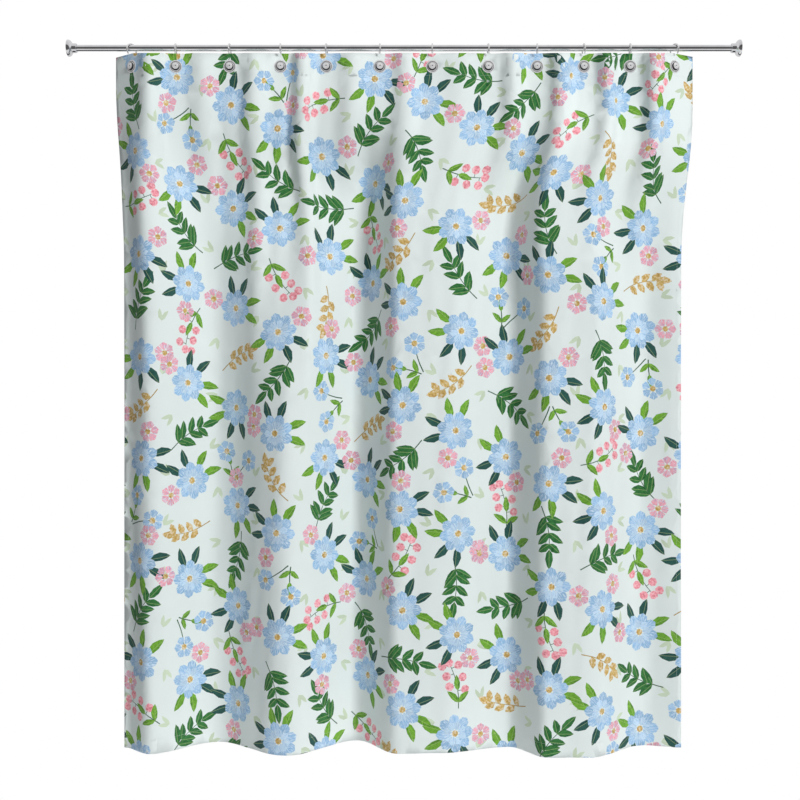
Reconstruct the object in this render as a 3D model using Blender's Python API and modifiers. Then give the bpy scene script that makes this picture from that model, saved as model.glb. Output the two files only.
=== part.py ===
"""A fabric shower curtain hanging from a straight wall-to-wall rod on twelve wire hooks.

Metres, +Z up. The origin is the centre of the left wall plate's back face, on the rod's axis. +X runs
along the rod to the right wall, -Y is the side that the curtain's front faces, +Y is its back.
"""
import math

import bmesh
import bpy
import numpy as np

# Rod and its wall fittings
WALL_SPAN = 1.816
ROD_RADIUS = 0.00865
ROD_WALL = 0.0012
ROD_INSET = 0.0036
GAP = 0.0003
PLATE_RADIUS = 0.020
PLATE_THICK = 0.003
SLEEVE_RADIUS = 0.01095
SLEEVE_END = 0.017
COVER_RADIUS = 0.02235
COVER_LENGTH = 0.025
COVER_BORE = ROD_RADIUS + 0.0004
WALL_SCREW_OFFSET = 0.0155
WALL_SCREW_SHANK = 0.0019
WALL_SCREW_HEAD = 0.0033
WALL_SCREW_HEAD_HEIGHT = 0.0022
SET_SCREW_RADIUS = 0.0015
SET_SCREW_AT = 0.0105

# Hooks, counted from the left wall
FIRST_HOOK_X = 0.1725
HOOK_SPACING = (0.119, 0.146, 0.137, 0.124, 0.144, 0.142, 0.151, 0.132, 0.126, 0.125, 0.120)
HOOK_TURN = (-36, 4, -3, 3, -5, 5, -3, 3, -4, 4, -3, 28)
WIRE_RADIUS = 0.0020
LOOP_RADIUS = 0.0158
LOOP_DROP = LOOP_RADIUS - WIRE_RADIUS - ROD_RADIUS - 0.0004
KNOB_RADIUS = 0.0102
KNOB_HEIGHT = 0.0052

# Eyelets
EYELET_RADIUS = 0.0175
EYELET_BORE = 0.0034
EYELET_BARREL = 0.0046
EYELET_HOLE = 0.0050
WASHER_RADIUS = 0.0165
WIRE_ABOVE_EYELET = 0.0010

# Curtain cloth, hung as folds; its flat size is CLOTH_WIDTH by CLOTH_DROP
CLOTH_WIDTH = 1.803
CLOTH_DROP = 1.880
CLOTH_THICK = 0.0008
CLOTH_TOP = -0.0143
EYELET_PITCH = 0.1524
EYELET_DROP = 0.0354
FLAT_HALF = 0.0195
LEFT_EDGE_X = 0.148
RIGHT_EDGE_X = 1.661
FOLDS_START = 0.075
FOLDS_SETTLED = 0.56
# How far down from the top edge the bow between each pair of hooks reaches
BOW_REACH = (0.45, 0.62, 1.15, 1.25, 0.50, 0.42, 0.50, 0.50, 0.42, 0.60, 0.75)
# Where the lower folds turn: distance along the rod, and depth behind the rod's plane
FOLD_TURNS = (
    (0.148, 0.017), (0.228, -0.041), (0.393, 0.068), (0.593, -0.056), (0.780, 0.080),
    (0.888, -0.040), (1.003, -0.034), (1.196, 0.020), (1.284, -0.074), (1.398, -0.072),
    (1.5625, 0.034), (1.661, 0.014),
)
# Bows sag below their hooks by this share of how far forward they stand, fading out downwards
SAG = 0.33
SAG_REACH = 0.45
SAMPLES = 3000
CLOTH_ROWS = (0, 0.075, 0.15, 0.22, 0.29, 0.37, 0.46, 0.58, 0.80, 1.15, CLOTH_DROP)
BAY_COLUMNS = 4

HOOK_COUNT = len(HOOK_TURN)
EYELET_Z = CLOTH_TOP - EYELET_DROP
HOOK_X = FIRST_HOOK_X + np.concatenate([[0.0], np.cumsum(HOOK_SPACING)])
SIDE_MARGIN = (CLOTH_WIDTH - EYELET_PITCH * (HOOK_COUNT - 1)) / 2
EYELET_U = SIDE_MARGIN + EYELET_PITCH * np.arange(HOOK_COUNT)


# ---------------------------------------------------------------- scene and helpers

def clear_scene():
    for obj in list(bpy.data.objects):
        bpy.data.objects.remove(obj, do_unlink=True)


def new_collection(name):
    collection = bpy.data.collections.new(name)
    bpy.context.scene.collection.children.link(collection)
    return collection


def new_object(name, mesh, collection, material=None):
    obj = bpy.data.objects.new(name, mesh)
    collection.objects.link(obj)
    if material is not None:
        mesh.materials.clear()
        mesh.materials.append(material)
    return obj


def new_material(name, colour, roughness, metallic):
    material = bpy.data.materials.new(name)
    material.use_nodes = True
    shader = material.node_tree.nodes["Principled BSDF"]
    shader.inputs["Base Color"].default_value = (*colour, 1.0)
    shader.inputs["Roughness"].default_value = roughness
    shader.inputs["Metallic"].default_value = metallic
    return material


def shade_round(obj, angle_deg=35):
    obj.data.shade_smooth()
    obj.data.set_sharp_from_angle(angle=math.radians(angle_deg))


def profile_mesh(name, profile, closed):
    """A mesh of edges through (radius, height) points, in the XZ plane at +X."""
    mesh = bpy.data.meshes.new(name)
    points = [(radius, 0.0, height) for radius, height in profile]
    edges = [(i, i + 1) for i in range(len(points) - 1)]
    if closed:
        edges.append((len(points) - 1, 0))
    mesh.from_pydata(points, edges, [])
    return mesh


def turned(name, profile, collection, material, steps=24, closed=False):
    """A solid of revolution about its own Z. The profile runs down its outer side, top to bottom."""
    obj = new_object(name, profile_mesh(name, profile, closed), collection, material)
    screw = obj.modifiers.new("turn", "SCREW")
    screw.axis = "Z"
    screw.angle = math.tau
    screw.steps = steps
    screw.render_steps = steps
    screw.use_merge_vertices = True
    screw.merge_threshold = 0.00001
    screw.use_smooth_shade = True
    return obj


def cylinder_cutter(name, radius, depth, collection, vertices=20):
    mesh = bpy.data.meshes.new(name)
    bm = bmesh.new()
    bmesh.ops.create_cone(
        bm, cap_ends=True, segments=vertices, radius1=radius, radius2=radius, depth=depth
    )
    bm.to_mesh(mesh)
    bm.free()
    obj = new_object(name, mesh, collection)
    obj.hide_render = True
    obj.display_type = "WIRE"
    return obj


def cut(obj, cutter):
    modifier = obj.modifiers.new("cut_" + cutter.name, "BOOLEAN")
    modifier.operation = "DIFFERENCE"
    modifier.object = cutter


def aim_along_x(obj, x, side):
    """Turns the object's Z to point away from its wall: +X on the left side, -X on the right."""
    obj.location = (x, 0.0, 0.0)
    obj.rotation_euler = (0.0, side * math.pi / 2, 0.0)


def at_hook(obj, number, height):
    """Points the object's Z forwards, out of the cloth, at a hook."""
    obj.location = (HOOK_X[number], 0.0, height)
    obj.rotation_euler = (math.pi / 2, 0.0, math.radians(HOOK_TURN[number]))


# ---------------------------------------------------------------- the cloth's folds

def turn_between(t):
    """0 to 1 with level ends."""
    t = np.clip(t, 0.0, 1.0)
    return t * t * (3.0 - 2.0 * t)


def upper_angles(u):
    """The cloth's heading along its top, as an angle from +X towards +Y, at flat distances u.

    It lies flat round each eyelet, at its hook's turn, and bows forwards between two hooks by just
    as much as takes up the spare cloth there.
    """
    turns = np.radians(HOOK_TURN)
    angles = np.interp(u, EYELET_U, turns)
    for i in range(HOOK_COUNT - 1):
        start = EYELET_U[i] + FLAT_HALF
        end = EYELET_U[i + 1] - FLAT_HALF
        bay = (u > start) & (u < end)
        t = (u[bay] - start) / (end - start)
        base = turns[i] + (turns[i + 1] - turns[i]) * turn_between(t)
        flats = FLAT_HALF * np.exp(1j * turns[i]) + FLAT_HALF * np.exp(1j * turns[i + 1])
        goal = (HOOK_SPACING[i] - flats) / (end - start)
        bow, lean = 0.7, 0.0
        for _ in range(25):
            heading = np.exp(1j * (base - bow * np.sin(math.tau * t) - lean * np.sin(math.pi * t)))
            miss = heading.mean() - goal
            by_bow = (-1j * np.sin(math.tau * t) * heading).mean()
            by_lean = (-1j * np.sin(math.pi * t) * heading).mean()
            slopes = [[by_bow.real, by_lean.real], [by_bow.imag, by_lean.imag]]
            step = np.linalg.solve(slopes, [miss.real, miss.imag])
            bow -= step[0]
            lean -= step[1]
        angles[bay] = base - bow * np.sin(math.tau * t) - lean * np.sin(math.pi * t)
        angles[(u >= EYELET_U[i] - FLAT_HALF) & (u <= start)] = turns[i]
    angles[(u >= EYELET_U[-1] - FLAT_HALF) & (u <= EYELET_U[-1] + FLAT_HALF)] = turns[-1]
    for i, side in ((0, -1), (HOOK_COUNT - 1, 1)):
        past = side * (u - EYELET_U[i]) - FLAT_HALF
        edge = past > 0
        angles[edge] = turns[i]
    return angles


def lower_angles(u):
    """The cloth's heading where the folds have settled, at flat distances u."""
    turn_x = np.array([p[0] for p in FOLD_TURNS])
    turn_y = np.array([p[1] for p in FOLD_TURNS])
    x = np.linspace(turn_x[0], turn_x[-1], SAMPLES)
    piece = np.clip(np.searchsorted(turn_x, x, side="right") - 1, 0, len(turn_x) - 2)
    t = (x - turn_x[piece]) / (turn_x[piece + 1] - turn_x[piece])
    y = turn_y[piece] + (turn_y[piece + 1] - turn_y[piece]) * turn_between(t)
    length = np.concatenate([[0.0], np.cumsum(np.hypot(np.diff(x), np.diff(y)))])
    angle = np.arctan2(np.gradient(y), np.gradient(x))
    return np.interp(u / CLOTH_WIDTH * length[-1], length, angle)


def path_along(u, angles):
    """The curve with these headings, as x + iy, starting at 0."""
    middle = np.exp(0.5j * (angles[1:] + angles[:-1]))
    return np.concatenate([[0.0], np.cumsum(middle * np.diff(u))])


class Drape:
    """Where each point of the flat cloth hangs: u along its width, drop down from its top edge."""

    def __init__(self):
        self.u = np.linspace(0.0, CLOTH_WIDTH, SAMPLES)
        self.upper = upper_angles(self.u)
        self.lower = lower_angles(self.u)
        top = path_along(self.u, self.upper)
        first = np.interp(EYELET_U[0], self.u, top.real) + 1j * np.interp(EYELET_U[0], self.u, top.imag)
        self.top_start = HOOK_X[0] - first
        self.top_width = top[-1].real
        bays = 0.5 * (EYELET_U[1:] + EYELET_U[:-1])
        self.reach = np.interp(self.u, bays, BOW_REACH)
        forward = np.maximum(0.0, -(top.imag + self.top_start.imag))
        self.sag = SAG * forward ** 2 / (forward + 0.008)

    def row(self, drop):
        """The row's curve as x + iy at self.u."""
        settled = turn_between((drop - FOLDS_START) / (FOLDS_SETTLED - FOLDS_START))
        fallen = turn_between((drop - FOLDS_START) / (self.reach - FOLDS_START))
        mixed = (1.0 - fallen) * self.upper + fallen * self.lower
        width = (1.0 - settled) * self.top_width + settled * (RIGHT_EDGE_X - LEFT_EDGE_X)
        low, high = 0.3, 2.5
        for _ in range(40):
            scale = 0.5 * (low + high)
            if path_along(self.u, mixed * scale)[-1].real > width:
                low = scale
            else:
                high = scale
        curve = path_along(self.u, mixed * scale)
        drift = curve[-1].imag * self.u / CLOTH_WIDTH
        level = curve.imag - drift * settled
        left = (1.0 - settled) * self.top_start.real + settled * LEFT_EDGE_X
        depth = level - settled * level.mean() + (1.0 - settled) * self.top_start.imag
        return curve.real + left + 1j * depth

    def points(self, u, drop):
        """World points of one row, at flat distances u."""
        curve = self.row(drop)
        x = np.interp(u, self.u, curve.real)
        y = np.interp(u, self.u, curve.imag)
        sag = np.interp(u, self.u, self.sag) * (1.0 - turn_between(drop / SAG_REACH))
        return [(float(a), float(b), float(CLOTH_TOP - drop - c)) for a, b, c in zip(x, y, sag)]


# ---------------------------------------------------------------- sub-parts

def make_rod(parts, chrome):
    length = WALL_SPAN - 2 * ROD_INSET
    outer, inner = ROD_RADIUS, ROD_RADIUS - ROD_WALL
    profile = [(outer, length), (outer, 0.0), (inner, 0.0), (inner, length)]
    rod = turned("rod_tube", profile, parts, chrome, steps=28, closed=True)
    aim_along_x(rod, ROD_INSET, 1)


def make_socket(label, x, side, parts, cutters, material):
    """Wall plate with the sleeve that the rod's end stands in."""
    inner = ROD_RADIUS + GAP
    profile = [
        (0.0, PLATE_THICK), (inner, PLATE_THICK), (inner, SLEEVE_END), (SLEEVE_RADIUS, SLEEVE_END),
        (SLEEVE_RADIUS, PLATE_THICK), (PLATE_RADIUS, PLATE_THICK), (PLATE_RADIUS, 0.0), (0.0, 0.0),
    ]
    socket = turned(label + "_socket", profile, parts, material, steps=28)
    aim_along_x(socket, x, side)
    for above in (1, -1):
        hole = cylinder_cutter(
            f"{label}_screw_hole_{above}", WALL_SCREW_SHANK + GAP, 4 * PLATE_THICK, cutters, 12
        )
        hole.location = (x, 0.0, above * WALL_SCREW_OFFSET)
        hole.rotation_euler = (0.0, math.pi / 2, 0.0)
        cut(socket, hole)
    hole = cylinder_cutter(label + "_set_hole", SET_SCREW_RADIUS + GAP, 0.006, cutters, 12)
    hole.location = (x + side * SET_SCREW_AT, 0.0, -SLEEVE_RADIUS)
    cut(socket, hole)


def make_wall_screw(name, x, side, z, parts, material):
    base = PLATE_THICK + GAP
    top = base + WALL_SCREW_HEAD_HEIGHT
    head, shank = WALL_SCREW_HEAD, WALL_SCREW_SHANK
    profile = [
        (0.0, top), (0.6 * head, top), (head, base + 0.0012), (head, base),
        (shank, base), (shank, GAP), (0.0, GAP),
    ]
    screw = turned(name, profile, parts, material, steps=12)
    screw.location = (x, 0.0, z)
    screw.rotation_euler = (0.0, side * math.pi / 2, 0.0)


def make_set_screw(name, x, side, parts, material):
    inner, outer = ROD_RADIUS + GAP, SLEEVE_RADIUS + 0.0001
    radius = SET_SCREW_RADIUS
    profile = [(0.0, outer), (radius, outer), (radius, inner), (0.0, inner)]
    screw = turned(name, profile, parts, material, steps=12)
    screw.location = (x + side * SET_SCREW_AT, 0.0, 0.0)
    screw.rotation_euler = (math.pi, 0.0, 0.0)


def make_cover(name, x, side, parts, material):
    """Domed rosette that slides along the rod and hides the socket and its screws."""
    foot = 0.0005
    room = PLATE_RADIUS + 0.0007
    outside = [
        (0.0104, COVER_LENGTH), (0.0120, 0.0242), (0.0127, 0.0228), (0.0127, 0.0142),
        (0.0144, 0.0120), (0.0182, 0.0098), (0.0211, 0.0068), (COVER_RADIUS, 0.0038),
        (COVER_RADIUS, foot),
    ]
    inside = [
        (room, foot), (room, 0.0046), (0.0190, 0.0064), (0.0150, 0.0090), (0.0116, 0.0112),
        (0.0116, 0.0182), (COVER_BORE, 0.0182), (COVER_BORE, COVER_LENGTH),
    ]
    cover = turned(name, outside + inside, parts, material, steps=28, closed=True)
    aim_along_x(cover, x, side)


def hook_path():
    """The wire from the knob, back through the eyelet, up, over the rod and down in front."""
    low = EYELET_Z + WIRE_ABOVE_EYELET
    bend = 0.0085
    points = [(0.0040, low)]
    for step in range(4):
        angle = math.radians(30.0 * step)
        forward = -(LOOP_RADIUS - bend) - bend * math.sin(angle)
        points.append((forward, low + bend - bend * math.cos(angle)))
    points.append((-LOOP_RADIUS, 0.5 * (low + bend) - 0.5 * LOOP_DROP))
    for step in range(11):
        angle = math.radians(180.0 - 18.0 * step)
        points.append((LOOP_RADIUS * math.cos(angle), LOOP_RADIUS * math.sin(angle) - LOOP_DROP))
    points += [(0.0142, -0.0100), (0.0112, -0.0152)]
    return [(0.0, -forward, height) for forward, height in points]


def mesh_from_curve(obj):
    """The mesh of a curve object in its place, with its caps welded on; the curve is removed."""
    depsgraph = bpy.context.evaluated_depsgraph_get()
    mesh = bpy.data.meshes.new_from_object(obj.evaluated_get(depsgraph))
    bm = bmesh.new()
    bm.from_mesh(mesh)
    bmesh.ops.remove_doubles(bm, verts=bm.verts, dist=0.00001)
    bm.to_mesh(mesh)
    bm.free()
    name = obj.name
    curve = obj.data
    bpy.data.objects.remove(obj, do_unlink=True)
    bpy.data.curves.remove(curve)
    mesh.name = name
    return mesh


def make_wire_mesh(parts):
    curve = bpy.data.curves.new("hook_wire", "CURVE")
    curve.dimensions = "3D"
    curve.bevel_depth = WIRE_RADIUS
    curve.bevel_resolution = 1
    curve.use_fill_caps = True
    path = hook_path()
    spline = curve.splines.new("POLY")
    spline.points.add(len(path) - 1)
    for point, place in zip(spline.points, path):
        point.co = (*place, 1.0)
    obj = bpy.data.objects.new("hook_wire", curve)
    parts.objects.link(obj)
    return mesh_from_curve(obj)


def knob_profile():
    """Domed knob with a centre dimple; the wire's end stands in a blind hole in its back."""
    back = CLOTH_THICK / 2 + 0.0026
    top = back + KNOB_HEIGHT
    hole = WIRE_RADIUS + GAP
    return [
        (0.0, top - 0.0012), (0.0026, top), (0.0060, top - 0.0004),
        (0.0090, top - 0.0020), (KNOB_RADIUS, back + 0.0014), (KNOB_RADIUS - 0.0006, back),
        (hole, back), (hole, back + 0.0014), (0.0, back + 0.0014),
    ]


def eyelet_front_profile():
    """Round flange on the front of the cloth, with the barrel that goes through it."""
    back = CLOTH_THICK / 2 + GAP
    barrel_end = -CLOTH_THICK / 2 - 0.0016
    return [
        (EYELET_BORE, back + 0.0017), (0.0150, back + 0.0014), (EYELET_RADIUS, back + 0.0005),
        (EYELET_RADIUS, back), (EYELET_BARREL, back),
        (EYELET_BARREL, barrel_end), (EYELET_BORE, barrel_end),
    ]


def eyelet_back_profile():
    front = -CLOTH_THICK / 2 - GAP
    return [
        (EYELET_HOLE, front), (WASHER_RADIUS, front),
        (WASHER_RADIUS - 0.0005, front - 0.0011), (EYELET_HOLE, front - 0.0011),
    ]


def make_hooks(parts, chrome):
    wire_mesh = make_wire_mesh(parts)
    for number in range(HOOK_COUNT):
        label = f"{number + 1:02d}"
        wire = new_object("hook_wire_" + label, wire_mesh, parts, chrome)
        wire.location = (HOOK_X[number], 0.0, 0.0)
        wire.rotation_euler = (0.0, 0.0, math.radians(HOOK_TURN[number]))
        knob = turned("hook_knob_" + label, knob_profile(), parts, chrome, steps=14)
        at_hook(knob, number, EYELET_Z + WIRE_ABOVE_EYELET)
    shade_round(wire)


def make_eyelets(parts, material):
    for number in range(HOOK_COUNT):
        label = f"{number + 1:02d}"
        front = turned(
            "eyelet_front_" + label, eyelet_front_profile(), parts, material, steps=14, closed=True
        )
        at_hook(front, number, EYELET_Z)
        back = turned(
            "eyelet_back_" + label, eyelet_back_profile(), parts, material, steps=14, closed=True
        )
        at_hook(back, number, EYELET_Z)


def cloth_columns():
    """Flat distances of the mesh columns: both sides of each eyelet's flat, and evenly between."""
    margins = np.linspace(0.0, SIDE_MARGIN - FLAT_HALF, 4)
    columns = list(margins)
    for i, u in enumerate(EYELET_U):
        columns.append(u - FLAT_HALF)
        columns.append(u + FLAT_HALF)
        if i < HOOK_COUNT - 1:
            bay = np.linspace(u + FLAT_HALF, EYELET_U[i + 1] - FLAT_HALF, BAY_COLUMNS + 2)
            columns += list(bay[1:-1])
    columns += list(CLOTH_WIDTH - margins)
    return np.unique(np.round(columns, 6))


def make_curtain(parts, cutters, material):
    drape = Drape()
    columns = cloth_columns()
    bm = bmesh.new()
    grid = []
    for drop in CLOTH_ROWS:
        grid.append([bm.verts.new(p) for p in drape.points(columns, drop)])
    for upper, lower in zip(grid, grid[1:]):
        for i in range(len(columns) - 1):
            bm.faces.new((upper[i], lower[i], lower[i + 1], upper[i + 1]))
    mesh = bpy.data.meshes.new("curtain_panel")
    bm.to_mesh(mesh)
    bm.free()
    curtain = new_object("curtain_panel", mesh, parts, material)
    solidify = curtain.modifiers.new("cloth", "SOLIDIFY")
    solidify.thickness = CLOTH_THICK
    solidify.offset = 0.0
    for number in range(HOOK_COUNT):
        hole = cylinder_cutter(f"eyelet_hole_{number + 1:02d}", EYELET_HOLE, 0.02, cutters, 12)
        at_hook(hole, number, EYELET_Z)
        cut(curtain, hole)


def main():
    clear_scene()
    parts = new_collection("shower_curtain")
    cutters = new_collection("cutters")
    chrome = new_material("polished_chrome", (0.78, 0.78, 0.80), 0.12, 1.0)
    zinc = new_material("zinc_casting", (0.60, 0.61, 0.62), 0.42, 1.0)
    steel = new_material("screw_steel", (0.52, 0.52, 0.53), 0.35, 1.0)
    eyelet_metal = new_material("eyelet_nickel", (0.82, 0.81, 0.80), 0.22, 1.0)
    cloth = new_material("printed_polyester", (0.78, 0.86, 0.84), 0.85, 0.0)
    make_rod(parts, chrome)
    for label, x, side in (("left", 0.0, 1), ("right", WALL_SPAN, -1)):
        make_socket(label, x, side, parts, cutters, zinc)
        make_cover(label + "_cover", x, side, parts, chrome)
        for place, z in (("upper", WALL_SCREW_OFFSET), ("lower", -WALL_SCREW_OFFSET)):
            make_wall_screw(f"{label}_{place}_wall_screw", x, side, z, parts, steel)
        make_set_screw(label + "_set_screw", x, side, parts, steel)
    make_hooks(parts, chrome)
    make_eyelets(parts, eyelet_metal)
    make_curtain(parts, cutters, cloth)


main()
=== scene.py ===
import math
import random

import bpy
import numpy as np
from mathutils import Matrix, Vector
from mathutils.geometry import delaunay_2d_cdt


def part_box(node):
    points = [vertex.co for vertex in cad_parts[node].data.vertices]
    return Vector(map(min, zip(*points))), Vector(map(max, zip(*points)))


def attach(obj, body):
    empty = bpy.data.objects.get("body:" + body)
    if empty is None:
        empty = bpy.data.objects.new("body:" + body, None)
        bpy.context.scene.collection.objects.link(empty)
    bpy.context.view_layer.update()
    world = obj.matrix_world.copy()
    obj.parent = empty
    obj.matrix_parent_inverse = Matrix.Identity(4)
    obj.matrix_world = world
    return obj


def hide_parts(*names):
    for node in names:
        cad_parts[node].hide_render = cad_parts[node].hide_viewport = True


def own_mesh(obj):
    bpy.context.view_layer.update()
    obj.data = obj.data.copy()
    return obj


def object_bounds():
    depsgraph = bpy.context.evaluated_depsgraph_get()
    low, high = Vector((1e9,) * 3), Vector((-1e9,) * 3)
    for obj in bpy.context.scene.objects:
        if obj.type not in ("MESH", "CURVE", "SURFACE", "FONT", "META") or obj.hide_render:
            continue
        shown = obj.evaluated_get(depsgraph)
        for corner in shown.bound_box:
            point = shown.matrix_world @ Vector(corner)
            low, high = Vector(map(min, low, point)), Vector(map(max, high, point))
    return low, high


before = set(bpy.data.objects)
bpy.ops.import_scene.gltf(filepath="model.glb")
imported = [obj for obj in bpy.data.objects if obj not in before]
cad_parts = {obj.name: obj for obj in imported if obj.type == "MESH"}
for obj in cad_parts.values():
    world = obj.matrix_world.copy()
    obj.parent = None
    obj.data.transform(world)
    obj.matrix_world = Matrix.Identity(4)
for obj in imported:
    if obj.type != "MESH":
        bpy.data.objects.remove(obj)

cad_low, cad_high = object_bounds()

# ---------------------------------------------------------------- sizes, in metres

MM = 0.001
ROD_LOW, ROD_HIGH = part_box("rod_tube")
CLOTH_LOW, CLOTH_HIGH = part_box("curtain_panel")
WALL_SPAN = cad_high[0] - cad_low[0]
ROD_RADIUS = 0.5 * (ROD_HIGH[2] - ROD_LOW[2])
CLOTH_TOP = CLOTH_HIGH[2]
CLOTH_DROP = CLOTH_HIGH[2] - CLOTH_LOW[2]

# The hooks and the folds are hung as in the CAD model
FIRST_HOOK_X = 0.1725
HOOK_SPACING = (0.119, 0.146, 0.137, 0.124, 0.144, 0.142, 0.151, 0.132, 0.126, 0.125, 0.120)
HOOK_TURN = (-36, 4, -3, 3, -5, 5, -3, 3, -4, 4, -3, 28)
CLOTH_WIDTH = 1.803
CLOTH_THICK = 0.0008
EYELET_PITCH = 0.1524
EYELET_DROP = 0.0354
FLAT_HALF = 0.0195
LEFT_EDGE_X = 0.148
RIGHT_EDGE_X = 1.661
FOLDS_START = 0.075
FOLDS_SETTLED = 0.56
BOW_REACH = (0.45, 0.62, 1.15, 1.25, 0.50, 0.42, 0.50, 0.50, 0.42, 0.60, 0.75)
FOLD_TURNS = (
    (0.148, 0.017), (0.228, -0.041), (0.393, 0.068), (0.593, -0.056), (0.780, 0.080),
    (0.888, -0.040), (1.003, -0.034), (1.196, 0.020), (1.284, -0.074), (1.398, -0.072),
    (1.5625, 0.034), (1.661, 0.014),
)
WIRE_RADIUS = 0.0020
LOOP_RADIUS = 0.0158
LOOP_DROP = LOOP_RADIUS - WIRE_RADIUS - ROD_RADIUS - 0.0004
WIRE_ABOVE_EYELET = 0.0010
EYELET_HOLE = 0.0050

# Fine detail of the cloth
SAMPLES = 1800
SAG = 0.33
SAG_REACH = 0.45
TABLE_ROWS = 236
COLUMN_STEP = 0.0104
ROW_STEP = 0.0480
WAFFLE_PITCH = 0.0024
HEM_BOTTOM = 0.040
HEM_TOP = 0.062
HEM_SIDE = 0.014
HEM_THICK = 0.0012
STITCH_PITCH = 0.0044
STITCH_LENGTH = 0.0030
STITCH_RADIUS = 0.000224
STITCH_LIFT = 0.00012
HEM_ROWS = 94
BACK_SHOWS = 0.16  # how much of the print shows through on the back

HOOK_COUNT = len(HOOK_TURN)
LABELS = [f"{n + 1:02d}" for n in range(HOOK_COUNT)]
EYELET_Z = CLOTH_TOP - EYELET_DROP
HOOK_X = FIRST_HOOK_X + np.concatenate([[0.0], np.cumsum(HOOK_SPACING)])
SIDE_MARGIN = (CLOTH_WIDTH - EYELET_PITCH * (HOOK_COUNT - 1)) / 2
EYELET_U = SIDE_MARGIN + EYELET_PITCH * np.arange(HOOK_COUNT)


# ---------------------------------------------------------------- helpers

def linear(red, green, blue):
    """A colour given as 0 to 255 on a screen, as linear light."""
    values = np.array([red, green, blue]) / 255.0
    return np.where(values <= 0.04045, values / 12.92, ((values + 0.055) / 1.055) ** 2.4)


def turn_between(t):
    """0 to 1 with level ends."""
    t = np.clip(t, 0.0, 1.0)
    return t * t * (3.0 - 2.0 * t)


def add_object(name, mesh, material):
    obj = bpy.data.objects.new(name, mesh)
    bpy.context.scene.collection.objects.link(obj)
    mesh.materials.clear()
    mesh.materials.append(material)
    return obj


def mesh_of(name, points, faces, smooth=True):
    mesh = bpy.data.meshes.new(name)
    mesh.from_pydata([tuple(map(float, p)) for p in points], [], [tuple(map(int, f)) for f in faces])
    if smooth:
        mesh.shade_smooth()
    return mesh


# ---------------------------------------------------------------- the cloth's folds

def upper_angles(u):
    """The cloth's heading along its top: flat at each eyelet and bowed forwards between hooks."""
    turns = np.radians(HOOK_TURN)
    angles = np.interp(u, EYELET_U, turns)
    for i in range(HOOK_COUNT - 1):
        start = EYELET_U[i] + FLAT_HALF
        end = EYELET_U[i + 1] - FLAT_HALF
        bay = (u > start) & (u < end)
        t = (u[bay] - start) / (end - start)
        base = turns[i] + (turns[i + 1] - turns[i]) * turn_between(t)
        flats = FLAT_HALF * np.exp(1j * turns[i]) + FLAT_HALF * np.exp(1j * turns[i + 1])
        goal = (HOOK_SPACING[i] - flats) / (end - start)
        bow, lean = 0.7, 0.0
        for _ in range(25):
            heading = np.exp(1j * (base - bow * np.sin(math.tau * t) - lean * np.sin(math.pi * t)))
            miss = heading.mean() - goal
            by_bow = (-1j * np.sin(math.tau * t) * heading).mean()
            by_lean = (-1j * np.sin(math.pi * t) * heading).mean()
            slopes = [[by_bow.real, by_lean.real], [by_bow.imag, by_lean.imag]]
            step = np.linalg.solve(slopes, [miss.real, miss.imag])
            bow -= step[0]
            lean -= step[1]
        angles[bay] = base - bow * np.sin(math.tau * t) - lean * np.sin(math.pi * t)
        angles[(u >= EYELET_U[i] - FLAT_HALF) & (u <= start)] = turns[i]
    angles[u >= EYELET_U[-1] - FLAT_HALF] = turns[-1]
    angles[u <= EYELET_U[0] + FLAT_HALF] = turns[0]
    return angles


def lower_angles(u):
    """The cloth's heading where the folds have settled."""
    turn_x = np.array([p[0] for p in FOLD_TURNS])
    turn_y = np.array([p[1] for p in FOLD_TURNS])
    x = np.linspace(turn_x[0], turn_x[-1], SAMPLES)
    piece = np.clip(np.searchsorted(turn_x, x, side="right") - 1, 0, len(turn_x) - 2)
    t = (x - turn_x[piece]) / (turn_x[piece + 1] - turn_x[piece])
    y = turn_y[piece] + (turn_y[piece + 1] - turn_y[piece]) * turn_between(t)
    length = np.concatenate([[0.0], np.cumsum(np.hypot(np.diff(x), np.diff(y)))])
    angle = np.arctan2(np.gradient(y), np.gradient(x))
    return np.interp(u / CLOTH_WIDTH * length[-1], length, angle)


def path_along(u, angles):
    """The curve with these headings, as x + iy, starting at 0."""
    middle = np.exp(0.5j * (angles[1:] + angles[:-1]))
    return np.concatenate([[0.0], np.cumsum(middle * np.diff(u))])


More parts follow.
